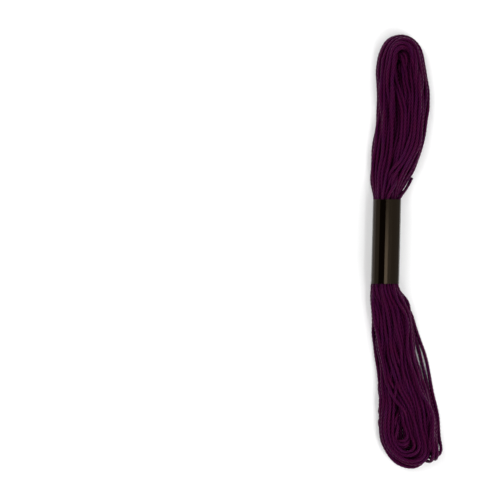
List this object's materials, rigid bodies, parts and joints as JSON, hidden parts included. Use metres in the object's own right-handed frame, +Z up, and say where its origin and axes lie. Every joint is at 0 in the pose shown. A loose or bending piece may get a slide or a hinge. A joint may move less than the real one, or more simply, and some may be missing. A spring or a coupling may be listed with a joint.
{
  "type": "skein of embroidery floss",
  "caption": "Long flat skein of dark plum six-strand embroidery floss, open loops at both ends and a plain black paper sleeve round its waist.",
  "frame": {"origin": "centre of the bounding box on the surface that the skein lies on", "axes": "+Z up from the surface, +Y along the skein towards the end with the open arch, +X across it towards the side loop"},
  "size_m": [0.0258, 0.16, 0.0084],
  "materials": {
    "floss": "satin",
    "sleeve_paper": "gloss"
  },
  "bodies": {
    "root": {"hank": "floss", "sleeve": "sleeve_paper", "loose_end": "floss"}
  },
  "joints": []
}
